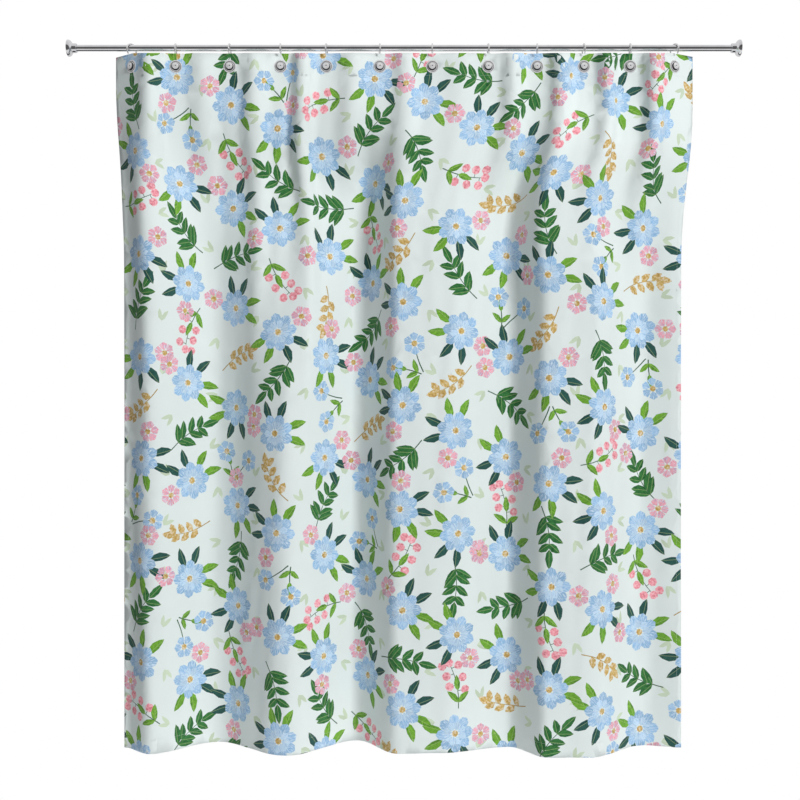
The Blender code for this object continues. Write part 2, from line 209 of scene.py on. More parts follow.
class Drape:
    """Where each point of the flat cloth hangs: u along its width, drop down from its top edge."""

    def __init__(self):
        self.u = np.linspace(0.0, CLOTH_WIDTH, SAMPLES)
        self.drops = np.linspace(0.0, CLOTH_DROP, TABLE_ROWS)
        self.upper = upper_angles(self.u)
        self.lower = lower_angles(self.u)
        top = path_along(self.u, self.upper)
        first = np.interp(EYELET_U[0], self.u, top.real) + 1j * np.interp(EYELET_U[0], self.u, top.imag)
        self.top_start = HOOK_X[0] - first
        self.top_width = top[-1].real
        bays = 0.5 * (EYELET_U[1:] + EYELET_U[:-1])
        self.reach = np.interp(self.u, bays, BOW_REACH)
        forward = np.maximum(0.0, -(top.imag + self.top_start.imag))
        sag = SAG * forward ** 2 / (forward + 0.008)
        fading = 1.0 - turn_between(self.drops / SAG_REACH)
        curves = np.array([self.row(drop) for drop in self.drops])
        height = CLOTH_TOP - self.drops[:, None] - sag * fading[:, None]
        self.points = np.stack([curves.real, curves.imag + self.ripples(), height], axis=2)
        along = np.gradient(self.points, self.u, axis=1)
        down = np.gradient(self.points, self.drops, axis=0)
        normal = np.cross(down, along)
        self.normals = normal / np.linalg.norm(normal, axis=2, keepdims=True)

    def row(self, drop):
        settled = turn_between((drop - FOLDS_START) / (FOLDS_SETTLED - FOLDS_START))
        fallen = turn_between((drop - FOLDS_START) / (self.reach - FOLDS_START))
        mixed = (1.0 - fallen) * self.upper + fallen * self.lower
        width = (1.0 - settled) * self.top_width + settled * (RIGHT_EDGE_X - LEFT_EDGE_X)
        low, high = 0.3, 2.5
        for _ in range(36):
            scale = 0.5 * (low + high)
            if path_along(self.u, mixed * scale)[-1].real > width:
                low = scale
            else:
                high = scale
        curve = path_along(self.u, mixed * scale)
        drift = curve[-1].imag * self.u / CLOTH_WIDTH
        level = curve.imag - drift * settled
        left = (1.0 - settled) * self.top_start.real + settled * LEFT_EDGE_X
        depth = level - settled * level.mean() + (1.0 - settled) * self.top_start.imag
        return curve.real + left + 1j * depth

    def ripples(self):
        """Small creases in and out of the cloth, which fade out round the eyelets."""
        rng = random.Random(11)
        u, drop = np.meshgrid(self.u, self.drops)
        total = np.zeros_like(u)
        for _ in range(26):
            wave = rng.uniform(0.045, 0.15)
            lean = rng.uniform(-0.16, 0.16)
            size = rng.uniform(0.0006, 0.0018)
            centre_u = rng.uniform(0.0, CLOTH_WIDTH)
            centre_drop = rng.uniform(0.15, CLOTH_DROP)
            spread_u = rng.uniform(0.10, 0.35)
            spread_drop = rng.uniform(0.25, 0.8)
            phase = rng.uniform(0.0, math.tau)
            patch = np.exp(-((u - centre_u) / spread_u) ** 2 - ((drop - centre_drop) / spread_drop) ** 2)
            total += size * patch * np.sin(math.tau * (u + lean * drop) / wave + phase)
        return total * turn_between((drop - 0.075) / 0.12)

    def at(self, u, drop, lift=0.0):
        """World points at flat places, lifted out of the cloth's front by lift."""
        column = np.clip(np.asarray(u) / CLOTH_WIDTH, 0, 1) * (SAMPLES - 1)
        line = np.clip(np.asarray(drop) / CLOTH_DROP, 0, 1) * (TABLE_ROWS - 1)
        c0 = np.minimum(column.astype(int), SAMPLES - 2)
        r0 = np.minimum(line.astype(int), TABLE_ROWS - 2)
        fc = (column - c0)[:, None]
        fr = (line - r0)[:, None]

        def blend(table):
            upper = table[r0, c0] * (1 - fc) + table[r0, c0 + 1] * fc
            lower = table[r0 + 1, c0] * (1 - fc) + table[r0 + 1, c0 + 1] * fc
            return upper * (1 - fr) + lower * fr

        normal = blend(self.normals)
        normal /= np.linalg.norm(normal, axis=1, keepdims=True)
        return blend(self.points) + normal * np.reshape(lift, (-1, 1))


# ---------------------------------------------------------------- the printed pattern

GROUND = linear(229, 238, 236)
PETAL = linear(156, 194, 228)
PETAL_PALE = linear(190, 217, 240)
LEAF_DEEP = linear(40, 78, 76)
LEAF_DARK = linear(50, 106, 60)
LEAF_LIGHT = linear(98, 150, 56)
TWIG = linear(58, 96, 72)
BERRY = linear(245, 158, 170)
GOLD = linear(208, 176, 104)
FAINT = linear(204, 219, 194)

BLOOM, VEINED, WASH, PLAIN = range(4)
# Sprigs are tossed on a half-drop grid, in millimetres; their own drawing is scaled by SPRIG_SIZE
SITE_WIDE = 147.0
SITE_TALL = 136.0
SITE_JITTER = 7.0
SITE_MARGIN = 100.0
SPRIG_SIZE = 1.22


def smooth_path(points, parts):
    """A smooth curve through the points (Catmull-Rom)."""
    p = [np.array(q, float) for q in points]
    p = [2 * p[0] - p[1]] + p + [2 * p[-1] - p[-2]]
    curve = []
    for a, b, c, d in zip(p, p[1:], p[2:], p[3:]):
        for k in range(parts):
            t = k / parts
            curve.append(0.5 * (2 * b + (c - a) * t + (2 * a - 5 * b + 4 * c - d) * t * t
                                + (3 * b - a - 3 * c + d) * t ** 3))
    curve.append(p[-2])
    return np.array(curve)


def toward(heading_deg):
    heading = math.radians(heading_deg)
    return np.array([math.cos(heading), math.sin(heading)])


class Print:
    """Flat shapes in painting order. A sprig is drawn in millimetres round 0, 0, with y up."""

    def __init__(self):
        self.shapes = []
        self.rng = random.Random(5)
        self.origin = np.zeros(2)
        self.turn = 0.0

    def place(self, x, y, turn_deg):
        self.origin = np.array([x, y])
        self.turn = turn_deg

    def flat(self, points):
        ahead, aside = toward(self.turn), toward(self.turn + 90.0)
        points = np.asarray(points, float).reshape(-1, 2)
        turned = SPRIG_SIZE * (points[:, :1] * ahead + points[:, 1:] * aside)
        return (self.origin + turned * (1.0, -1.0)) * MM

    def add(self, outline, ink, kind, root, heading_deg, vary=0.07):
        shade = self.rng.uniform(1.0 - vary, 1.0 + vary)
        heading = math.radians(heading_deg + self.turn)
        self.shapes.append((self.flat(outline), np.clip(ink * shade, 0, 1), kind, self.flat(root)[0],
                            heading, self.rng.uniform(0, 50)))

    def dot(self, centre, radius, ink, count=7):
        turn = self.rng.uniform(0, 360)
        outline = [np.array(centre) + radius * self.rng.uniform(0.94, 1.05) * toward(turn + 360 * i / count)
                   for i in range(count)]
        self.add(outline, ink, WASH, centre, 0.0)

    def leaf(self, base, heading_deg, length, width, ink, bend=0.06, kind=VEINED, fullest=0.44, vary=0.07):
        ahead, aside = toward(heading_deg), toward(heading_deg + 90.0)
        power = math.log(0.5) / math.log(fullest)
        steps = (0.0, 0.2, 0.5, 0.82, 1.0) if length > 28 else (0.0, 0.3, 0.72, 1.0)
        near, far = [], []
        for t in steps:
            half = 0.5 * width * math.sin(math.pi * t ** power) ** 0.8 if 0 < t < 1 else 0.0
            spine = np.array(base) + ahead * length * t + aside * bend * length * 4 * t * (1 - t)
            near.append(spine + aside * half)
            far.append(spine - aside * half)
        self.add(near + far[-2:0:-1], ink, kind, base, heading_deg, vary)

    def stem(self, curve, wide_start, wide_end, ink):
        ahead = np.gradient(curve, axis=0)
        ahead /= np.linalg.norm(ahead, axis=1, keepdims=True)
        aside = np.stack([-ahead[:, 1], ahead[:, 0]], axis=1)
        half = np.linspace(wide_start, wide_end, len(curve))[:, None] / 2
        outline = list(curve + aside * half) + list((curve - aside * half)[::-1])
        self.add(outline, ink, PLAIN, curve[0], 0.0)

    def arc(self, length, curl, heading_deg, start):
        """A gently curving line, as points."""
        points = [np.array(start, float)]
        for k in range(4):
            points.append(points[-1] + length / 4 * toward(heading_deg + curl * k))
        return smooth_path(points, 2)

    def flower(self, centre, radius, petals, rings, ink=PETAL, pale=PETAL_PALE):
        """A round flower of one or two rings of petals and a dotted centre."""
        turn = self.rng.uniform(0, 360)
        for ring in range(rings):
            outer = radius * (1.0 - 0.36 * ring)
            inner = outer * 0.24
            width = 1.12 * math.tau * 0.7 * outer / petals
            for k in range(petals):
                heading = turn + 360 * (k + 0.5 * ring) / petals
                start = np.array(centre) + inner * toward(heading)
                self.leaf(start, heading, outer - inner, width, pale if ring else ink, 0.0, BLOOM, 0.6, 0.13)
        self.dot(centre, radius * (0.17 if rings > 1 else 0.27), GOLD)

    def leafy(self, curve, pairs, length, width, ink):
        """Leaves in pairs along a line, and one at its end."""
        heading_at = np.degrees(np.arctan2(*np.gradient(curve, axis=0)[:, ::-1].T))
        for k in range(pairs):
            at = round((0.22 + 0.62 * k / max(pairs - 1, 1)) * (len(curve) - 1))
            for side in (1, -1):
                spread = side * self.rng.uniform(44, 58)
                size = length * self.rng.uniform(0.9, 1.08) * (1.0 - 0.08 * k)
                self.leaf(curve[at], heading_at[at] + spread, size, width, ink, -0.05 * side)
        self.leaf(curve[-1], heading_at[-1], length, width, ink, 0.0)


def draw_daisy(p):
    """A large flower on a fan of leaves with a small one beside it."""
    for heading in (205, 245, 295, 335):
        p.leaf(30 * toward(heading), heading, 46, 19, LEAF_DEEP if heading > 270 else LEAF_LIGHT)
    p.flower((52, 34), 24, 6, 1, BERRY)
    p.flower((0, 0), 43, 8, 2)


def draw_branch(p):
    curve = p.arc(96, -7, 96, (0, -60))
    p.stem(curve, 2.4, 1.2, TWIG)
    p.leafy(curve, 4, 44, 17, LEAF_DARK)


def draw_pair(p):
    """Two small flowers on stems that lean apart."""
    curves = [p.arc(66, curl, heading, start)
              for start, heading, curl in (((-3, -52), 112, 5), ((3, -52), 68, -5))]
    for curve in curves:
        p.stem(curve, 2.6, 1.8, TWIG)
    p.leafy(curves[0][:5], 1, 30, 12, LEAF_LIGHT)
    for curve in curves:
        p.flower(curve[-1], 25, 6, 1)


def draw_berries(p):
    curve = p.arc(104, 8, 78, (-6, -56))
    p.stem(curve, 2.2, 1.2, TWIG)
    for k, at in enumerate(range(3, len(curve))):
        side = 1 if k % 2 else -1
        ahead = curve[at] - curve[at - 1]
        away = np.array([-ahead[1], ahead[0]]) / np.linalg.norm(ahead)
        p.stem(np.array([curve[at], curve[at] + side * 13 * away]), 1.4, 1.2, TWIG)
        p.dot(curve[at] + side * 17 * away, 10.0, BERRY)
    p.dot(curve[-1], 10.0, BERRY)
    p.leafy(curve[:4], 1, 36, 14, LEAF_LIGHT)


def draw_seeds(p):
    curve = p.arc(92, -9, 104, (6, -50))
    p.stem(curve, 2.2, 1.2, GOLD * 0.7)
    for k, at in enumerate(range(2, len(curve))):
        p.leaf(curve[at], 90 + (48 if k % 2 else -48) - 4 * at, 27, 17, GOLD, kind=WASH)
    p.leaf(curve[-1], 70, 32, 17, GOLD, kind=WASH)


def draw_faint(p):
    for heading in (70, 115):
        p.leaf((0, -12), heading, 28, 10, FAINT, kind=PLAIN)


def draw_print():
    """A daisy at every other place and a smaller sprig at each place between them."""
    p = Print()
    between = (draw_branch, draw_berries, draw_branch, draw_pair, draw_seeds)
    places = []
    columns = math.ceil(CLOTH_WIDTH / MM / SITE_WIDE) + 2
    rows = math.ceil(CLOTH_DROP / MM / SITE_TALL) + 2
    for i in range(-1, columns):
        for j in range(-1, rows):
            x = (i + 0.5) * SITE_WIDE + p.rng.uniform(-SITE_JITTER, SITE_JITTER)
            y = (j + 0.5 * (i % 2)) * SITE_TALL + p.rng.uniform(-SITE_JITTER, SITE_JITTER)
            draw = draw_daisy if (i // 2 + j) % 2 == 0 else between[(i + 2 * j) % len(between)]
            inside = (-SITE_MARGIN < x < CLOTH_WIDTH / MM + SITE_MARGIN
                      and -SITE_MARGIN < y < CLOTH_DROP / MM + SITE_MARGIN)
            if inside:
                places.append((draw, x, y, p.rng.uniform(0, 360)))
    for _, x, y, turn in places:
        p.place(x + SITE_WIDE / 2, y + SITE_TALL / 4, turn)
        draw_faint(p)
    for draw, x, y, turn in sorted(places, key=lambda place: place[0] is draw_daisy):
        p.place(x, y, turn)
        draw(p)
    return p.shapes


# ---------------------------------------------------------------- the cloth's mesh

def ring(centre_u, centre_drop, radius, count):
    angles = np.arange(count) * math.tau / count
    return [(centre_u + radius * math.cos(a), centre_drop + radius * math.sin(a)) for a in angles]


def cut_pattern(shapes):
    """Triangles of the flat cloth that follow every printed outline, with each one's topmost shape."""
    columns = np.linspace(0, CLOTH_WIDTH, round(CLOTH_WIDTH / COLUMN_STEP) + 1)
    rows = np.linspace(0, CLOTH_DROP, round(CLOTH_DROP / ROW_STEP) + 1)
    points = [(u, drop) for drop in rows for u in columns]
    faces = []
    corners = [(0, 0), (CLOTH_WIDTH, 0), (CLOTH_WIDTH, CLOTH_DROP), (0, CLOTH_DROP)]
    outlines = [corners] + [list(shape[0]) for shape in shapes]
    outlines += [ring(u, EYELET_DROP, EYELET_HOLE, 24) for u in EYELET_U]
    for outline in outlines:
        loop = np.array(outline)
        following = np.roll(loop, -1, axis=0)
        if (loop[:, 0] * following[:, 1] - loop[:, 1] * following[:, 0]).sum() < 0:
            loop = loop[::-1]
        faces.append(list(range(len(points), len(points) + len(loop))))
        points += [tuple(p) for p in loop]
    flat, _, tris, _, _, sources = delaunay_2d_cdt([Vector(p) for p in points], [], faces, 0, 1e-6)
    first_hole = 1 + len(shapes)
    kept, tops = [], []
    for tri, source in zip(tris, sources):
        if 0 in source and max(source) < first_hole:
            kept.append(tri)
            tops.append(max(source) - 1)
    kept = np.array(kept)
    used = np.unique(kept)
    renumber = np.zeros(len(flat), int)
    renumber[used] = np.arange(len(used))
    return np.array([tuple(p) for p in flat])[used], renumber[kept], np.array(tops)


def rim_edges(tris):
    """Directed edges that only one triangle has."""
    directed = np.concatenate([tris[:, [0, 1]], tris[:, [1, 2]], tris[:, [2, 0]]])
    key = np.sort(directed, axis=1)
    _, index, count = np.unique(key, axis=0, return_index=True, return_counts=True)
    return directed[index[count == 1]]


def make_cloth_mesh(drape, shapes):
    flat, tris, tops = cut_pattern(shapes)
    count = len(flat)
    front = drape.at(flat[:, 0], flat[:, 1], CLOTH_THICK / 2)
    back = drape.at(flat[:, 0], flat[:, 1], -CLOTH_THICK / 2)
    rim = rim_edges(tris)
    rim_tris = np.concatenate([
        np.stack([rim[:, 0], rim[:, 1], rim[:, 1] + count], axis=1),
        np.stack([rim[:, 0], rim[:, 1] + count, rim[:, 0] + count], axis=1),
    ])
    faces = np.concatenate([tris[:, ::-1], tris + count, rim_tris])
    mesh = mesh_of("curtain_cloth", np.concatenate([front, back]), faces)

    inks = np.array([GROUND] + [shape[1] for shape in shapes])
    kinds = np.array([PLAIN] + [shape[2] for shape in shapes])
    roots = np.array([(0.0, 0.0)] + [tuple(shape[3]) for shape in shapes])
    headings = np.array([0.0] + [shape[4] for shape in shapes])
    seeds = np.array([0.0] + [shape[5] for shape in shapes])
    shape_of = np.concatenate([tops + 1, tops + 1, np.zeros(len(rim_tris), int)])
    shows = np.concatenate([np.ones(len(tris)), np.full(len(tris), BACK_SHOWS), np.zeros(len(rim_tris))])

    ink = GROUND + (inks[shape_of] - GROUND) * shows[:, None]
    ink = np.column_stack([ink, np.ones(len(ink))])
    mesh.attributes.new("ink", "FLOAT_COLOR", "FACE").data.foreach_set("color", ink.ravel())
    kind = kinds[shape_of]
    marks = np.stack([kind == BLOOM, kind == VEINED, kind == WASH], axis=1) * shows[:, None]
    mesh.attributes.new("marks", "FLOAT_VECTOR", "FACE").data.foreach_set("vector", marks.ravel())

    both = np.concatenate([flat, flat])
    cloth_place = np.column_stack([both, np.zeros(len(both))])
    mesh.attributes.new("cloth_place", "FLOAT_VECTOR", "POINT").data.foreach_set(
        "vector", cloth_place.ravel()
    )
    corner_shape = np.repeat(shape_of, 3)
    corner = both[faces.ravel()] - roots[corner_shape]
    across, up = corner[:, 0], -corner[:, 1]
    cos, sin = np.cos(headings[corner_shape]), np.sin(headings[corner_shape])
    strokes = np.stack([across * cos + up * sin, up * cos - across * sin, seeds[corner_shape]], axis=1)
    mesh.attributes.new("strokes", "FLOAT_VECTOR", "CORNER").data.foreach_set(
        "vector", strokes.ravel()
    )
    return mesh


def strip_mesh(drape, name, u_range, drop_range, lift, thick, columns, rows):
    """A closed strip of cloth that lies along the panel at that height out of its front."""
    us = np.linspace(*u_range, columns + 1)
    drops = np.linspace(*drop_range, rows + 1)
    grid_u, grid_drop = np.meshgrid(us, drops)
    u, drop = grid_u.ravel(), grid_drop.ravel()
    points = np.concatenate([drape.at(u, drop, lift), drape.at(u, drop, lift - thick)])
    wide, total = columns + 1, len(u)
    tris = []
    for r in range(rows):
        for c in range(columns):
            a = r * wide + c
            tris += [(a, a + 1, a + wide + 1), (a, a + wide + 1, a + wide)]
    tris = np.array(tris)
    rim = rim_edges(tris)
    rim_quads = [(a, b, b + total, a + total) for a, b in rim]
    faces = list(tris[:, ::-1]) + list(tris + total) + rim_quads
    mesh = mesh_of(name, points, faces)
    place = np.column_stack([np.tile(u, 2), np.tile(drop, 2), np.zeros(2 * total)])
    mesh.attributes.new("cloth_place", "FLOAT_VECTOR", "POINT").data.foreach_set(
        "vector", place.ravel()
    )
    return mesh


def stitch_lines():
    """Flat places of every stitch and whether its run is along the cloth's width."""
    side_run = np.arange(0.006, CLOTH_DROP - 0.006, STITCH_PITCH)
    wide_run = np.arange(0.006, CLOTH_WIDTH - 0.006, STITCH_PITCH)
    lines = []
    for drop in (HEM_TOP - 0.003, CLOTH_DROP - HEM_BOTTOM + 0.003):
        lines += [(u, drop, True) for u in wide_run]
    for u in (HEM_SIDE - 0.002, CLOTH_WIDTH - HEM_SIDE + 0.002):
        lines += [(u, drop, False) for drop in side_run]
    return lines


def make_stitching(drape, material):
    sides = 6
    lines = stitch_lines()
    points, faces = [], []
    starts = np.array([(u, drop) for u, drop, _ in lines])
    along_u = np.array([wide for _, _, wide in lines])
    step = np.where(along_u[:, None], [[STITCH_LENGTH, 0.0]], [[0.0, STITCH_LENGTH]])
    lift = CLOTH_THICK / 2 + STITCH_LIFT
    head = drape.at(starts[:, 0] - step[:, 0] / 2, starts[:, 1] - step[:, 1] / 2, lift)
    tail = drape.at(starts[:, 0] + step[:, 0] / 2, starts[:, 1] + step[:, 1] / 2, lift)
    out = drape.at(starts[:, 0], starts[:, 1], 1.0) - drape.at(starts[:, 0], starts[:, 1], 0.0)
    for a, b, n in zip(head, tail, out):
        along = b - a
        aside = np.cross(along, n)
        aside /= np.linalg.norm(aside)
        base = len(points)
        points.append(a)
        for share in (0.14, 0.86):
            centre = a + along * share
            for k in range(sides):
                angle = math.tau * k / sides
                points.append(centre + STITCH_RADIUS * (aside * math.cos(angle) + n * math.sin(angle)))
        points.append(b)
        first, second, last = base + 1, base + 1 + sides, base + 1 + 2 * sides
        for k in range(sides):
            j = (k + 1) % sides
            faces.append((base, first + j, first + k))
            faces.append((first + k, first + j, second + j, second + k))
            faces.append((last, second + k, second + j))
    return add_object("hem_stitching", mesh_of("hem_stitching", points, faces), material)


# ---------------------------------------------------------------- materials

class Shader:
    """Short calls for one material's nodes."""

    def __init__(self, name, roughness=0.5, metallic=0.0, **settings):
        self.material = bpy.data.materials.new(name)
        self.material.use_nodes = True
        self.nodes = self.material.node_tree.nodes
        self.links = self.material.node_tree.links
        self.surface = self.nodes["Principled BSDF"]
        self.surface.inputs["Roughness"].default_value = roughness
        self.surface.inputs["Metallic"].default_value = metallic
        for socket, value in settings.items():
            self.surface.inputs[socket.replace("_", " ")].default_value = value

    def node(self, kind, **settings):
        node = self.nodes.new("ShaderNode" + kind)
        for key, value in settings.items():
            setattr(node, key, value)
        return node

    def feed(self, socket, value):
        if isinstance(value, bpy.types.NodeSocket):
            self.links.new(value, socket)
        else:
            socket.default_value = value

    def math(self, operation, *values):
        node = self.node("Math", operation=operation)
        for socket, value in zip(node.inputs, values):
            self.feed(socket, value)
        return node.outputs[0]

    def attribute(self, name):
        return self.node("Attribute", attribute_name=name)

    def split(self, vector):
        node = self.node("SeparateXYZ")
        self.links.new(vector, node.inputs[0])
        return node.outputs

    def join(self, x, y, z=0.0):
        node = self.node("CombineXYZ")
        for socket, value in zip(node.inputs, (x, y, z)):
            self.feed(socket, value)
        return node.outputs[0]

    def noise(self, vector, scale, detail=2.0):
        node = self.node("TexNoise")
        self.links.new(vector, node.inputs["Vector"])
        node.inputs["Scale"].default_value = scale
        node.inputs["Detail"].default_value = detail
        return node.outputs["Fac"]

    def between(self, value, low, high, to_low=0.0, to_high=1.0):
        node = self.node("MapRange", clamp=True)
        for name, setting in (("Value", value), ("From Min", low), ("From Max", high),
                              ("To Min", to_low), ("To Max", to_high)):
            self.feed(node.inputs[name], setting)
        return node.outputs[0]

    def mix(self, share, first, second, how="MIX"):
        node = self.node("Mix", data_type="RGBA", blend_type=how)
        self.feed(node.inputs[0], share)
        for socket, value in ((node.inputs[6], first), (node.inputs[7], second)):
            self.feed(socket, value if isinstance(value, bpy.types.NodeSocket) else (*value, 1.0))
        return node.outputs[2]

    def colour(self, value):
        self.feed(self.surface.inputs["Base Color"], value)

    def rough(self, value):
        self.feed(self.surface.inputs["Roughness"], value)

    def bump(self, height, strength, distance):
        node = self.node("Bump")
        self.links.new(height, node.inputs["Height"])
        node.inputs["Strength"].default_value = strength
        node.inputs["Distance"].default_value = distance
        self.links.new(node.outputs[0], self.surface.inputs["Normal"])

    def object_place(self):
        return self.node("TexCoord").outputs["Object"]


def weave(shader, place):
    """Height of a fine waffle weave, from 0 to 1, at the cloth's flat places."""
    x, y, _ = shader.split(place)
    wave_x = shader.math("SINE", shader.math("MULTIPLY", x, math.tau / WAFFLE_PITCH))
    wave_y = shader.math("SINE", shader.math("MULTIPLY", y, math.tau / WAFFLE_PITCH))
    waffle = shader.math("MULTIPLY", wave_x, wave_y)
    threads = shader.join(shader.math("MULTIPLY", x, 900.0), shader.math("MULTIPLY", y, 180.0))
    thread = shader.noise(threads, 1.0)
    total = shader.math("MULTIPLY_ADD", waffle, 0.35, 0.5)
    return shader.math("MULTIPLY_ADD", thread, 0.30, total)


def finish_cloth_with_painted_weave_shade(shader, colour, place):
    """Weave, soft unevenness and roughness over a cloth's colour, with painted shade: the colour is darker
    where the weave is low.
    """
    height = weave(shader, place)
    uneven = shader.noise(place, 7.0, 3.0)
    # Painted shade: the colour darkens with the weave's height, in its hollows; the unevenness is the
    # cloth's own tone.
    shade = shader.math("ADD", shader.between(height, 0.0, 1.2, 0.90, 1.03),
                        shader.between(uneven, 0.3, 0.7, -0.012, 0.012))
    shader.colour(shader.mix(1.0, colour, shader.join(shade, shade, shade), "MULTIPLY"))
    shader.rough(shader.between(height, 0.1, 1.1, 0.86, 0.72))
    shader.bump(height, 0.5, 0.0004)


def make_print_material():
    shader = Shader("printed_waffle_cloth", Sheen_Weight=0.12, Specular_IOR_Level=0.25)
    ink = shader.attribute("ink").outputs["Color"]
    bloom, veined, wash = shader.split(shader.attribute("marks").outputs["Vector"])[:3]
    along, aside, seed = shader.split(shader.attribute("strokes").outputs["Vector"])[:3]
    place = shader.attribute("cloth_place").outputs["Vector"]

    fan = shader.math("ARCTAN2", aside, shader.math("ADD", along, 0.012))
    reach = shader.math("SQRT", shader.math("ADD", shader.math("MULTIPLY", along, along),
                                            shader.math("MULTIPLY", aside, aside)))
    petals = shader.noise(shader.join(shader.math("MULTIPLY", fan, 24.0),
                                      shader.math("MULTIPLY", reach, 90.0), seed), 1.0, 2.5)
    petal_colour = shader.mix(shader.between(petals, 0.50, 0.64), ink, linear(214, 232, 247))
    petal_colour = shader.mix(shader.between(petals, 0.44, 0.32), petal_colour, linear(136, 178, 216))
    colour = shader.mix(bloom, ink, petal_colour)

    rib = shader.between(shader.math("ABSOLUTE", aside), 0.0003, 0.0011, 0.45, 0.0)
    slant = shader.math("ADD", shader.math("MULTIPLY", shader.math("ABSOLUTE", aside), -1.2), along)
    veins = shader.noise(shader.join(shader.math("MULTIPLY", slant, 420.0),
                                     shader.math("MULTIPLY", aside, 120.0), seed), 1.0, 2.0)
    leaf_light = shader.mix(1.0, ink, (2.0, 1.75, 1.4), "MULTIPLY")
    leaf_dark = shader.mix(1.0, ink, (0.50, 0.60, 0.60), "MULTIPLY")
    leaf_colour = shader.mix(shader.between(veins, 0.50, 0.68), ink, leaf_light)
    leaf_colour = shader.mix(shader.between(veins, 0.46, 0.34), leaf_colour, leaf_dark)
    leaf_colour = shader.mix(rib, leaf_colour, linear(196, 214, 150))
    half = shader.between(aside, -0.0006, 0.0006, 0.0, 0.30)
    leaf_colour = shader.mix(half, leaf_colour, leaf_light)
    colour = shader.mix(veined, colour, leaf_colour)

    pool = shader.noise(shader.join(shader.math("MULTIPLY", along, 160.0),
                                    shader.math("MULTIPLY", aside, 160.0), seed), 1.0, 2.0)
    wash_light = shader.mix(0.45, ink, (1.0, 1.0, 1.0))
    wash_dark = shader.mix(1.0, ink, (0.74, 0.66, 0.66), "MULTIPLY")
    wash_colour = shader.mix(shader.between(pool, 0.50, 0.66), ink, wash_light)
    wash_colour = shader.mix(shader.between(pool, 0.46, 0.34), wash_colour, wash_dark)
    colour = shader.mix(wash, colour, wash_colour)
    finish_cloth_with_painted_weave_shade(shader, colour, place)
    return shader.material


def make_plain_cloth_material(name, colour):
    shader = Shader(name, Sheen_Weight=0.12, Specular_IOR_Level=0.25)
    place = shader.attribute("cloth_place").outputs["Vector"]
    tint = shader.noise(place, 30.0, 2.0)
    finish_cloth_with_painted_weave_shade(shader, shader.mix(tint, colour, colour * 0.97), place)
    return shader.material


def make_thread_material():
    shader = Shader("polyester_thread", roughness=0.55, Sheen_Weight=0.2)
    ply = shader.noise(shader.object_place(), 2600.0, 1.0)
    shader.colour(shader.mix(ply, linear(206, 220, 218), linear(236, 243, 241)))
    shader.bump(ply, 0.5, 0.0001)
    return shader.material


def make_chrome(name, bright, dull, rough):
    """Polished plating with faint smears and very fine scratches."""
    shader = Shader(name, metallic=1.0)
    place = shader.object_place()
    smear = shader.noise(place, 38.0, 4.0)
    scratch = shader.noise(place, 900.0, 2.0)
    shader.colour(shader.mix(shader.between(smear, 0.35, 0.7), bright, dull))
    shader.rough(shader.math("ADD", shader.between(smear, 0.3, 0.75, rough, rough + 0.05),
                             shader.between(scratch, 0.4, 0.8, 0.0, 0.03)))
    shader.bump(scratch, 0.05, 0.00005)
    return shader.material


def make_turned_metal(name, metallic, rough, bright, rings):
    """Soft-polished plating with dark rings painted into its colour by radius: painted reflections, and
    painted shade where a ring lies in the eyelet's groove and the knob's dimple. Rings of (inner radius,
    outer radius).
    """
    shader = Shader(name, metallic=metallic)
    place = shader.object_place()
    x, y, _ = shader.split(place)
    radius = shader.math("SQRT", shader.math("MULTIPLY_ADD", x, x, shader.math("MULTIPLY", y, y)))
    smear = shader.noise(place, 160.0, 3.0)
    colour = shader.mix(shader.between(smear, 0.35, 0.7), bright, bright * 0.82)
    # Painted reflection: each ring is painted nearly black into the colour, standing in for the dark
    # reflections of polished metal.
    for inner, outer in rings:
        edge = 0.0003
        inside = shader.math("MULTIPLY", shader.between(radius, inner - edge, inner + edge),
                             shader.between(radius, outer + edge, outer - edge))
        colour = shader.mix(inside, colour, np.array([0.055, 0.055, 0.06]))
    shader.colour(colour)
    shader.rough(shader.between(smear, 0.3, 0.75, rough, rough + 0.12))
    turned = shader.noise(shader.join(shader.math("MULTIPLY", radius, 5200.0), 0.0), 1.0, 2.0)
    shader.bump(turned, 0.08, 0.00005)
    return shader.material


def make_cast_metal(name, bright, dull, rough, grain):
    shader = Shader(name, metallic=1.0)
    place = shader.object_place()
    pits = shader.noise(place, grain, 4.0)
    shader.colour(shader.mix(shader.between(pits, 0.35, 0.7), bright, dull))
    shader.rough(shader.between(pits, 0.3, 0.7, rough, rough + 0.18))
    shader.bump(pits, 0.35, 0.0002)
    return shader.material


# ---------------------------------------------------------------- metal pieces

def rounded(profile, radius, closed=False, parts=5):
    """The profile with its corners turned into short curves."""
    points = [np.array(p, float) for p in profile]
    count = len(points)
    curve = []
    for i, corner in enumerate(points):
        if not closed and i in (0, count - 1):
            curve.append(corner)
            continue
        before, after = points[i - 1], points[(i + 1) % count]
        reach_in = min(radius, 0.45 * np.linalg.norm(before - corner))
        reach_out = min(radius, 0.45 * np.linalg.norm(after - corner))
        start = corner + (before - corner) / np.linalg.norm(before - corner) * reach_in
        end = corner + (after - corner) / np.linalg.norm(after - corner) * reach_out
        for k in range(parts + 1):
            t = k / parts
            curve.append((1 - t) ** 2 * start + 2 * t * (1 - t) * corner + t * t * end)
    return curve


def lathe(name, profile, steps=64, closed=False):
    """A turned solid about Z. The profile runs down its outer side, top to bottom."""
    points, rings = [], []
    for radius, height in profile:
        if radius < 1e-9:
            rings.append([len(points)] * steps)
            points.append((0.0, 0.0, height))
            continue
        rings.append(list(range(len(points), len(points) + steps)))
        for k in range(steps):
            angle = math.tau * k / steps
            points.append((radius * math.cos(angle), radius * math.sin(angle), height))
    pairs = list(zip(rings, rings[1:]))
    if closed:
        pairs.append((rings[-1], rings[0]))
    faces = []
    for upper, lower in pairs:
        for k in range(steps):
            j = (k + 1) % steps
            corners = [upper[k], lower[k], lower[j], upper[j]]
            face = list(dict.fromkeys(corners))
            if len(face) > 2:
                faces.append(face)
    return mesh_of(name, points, faces)


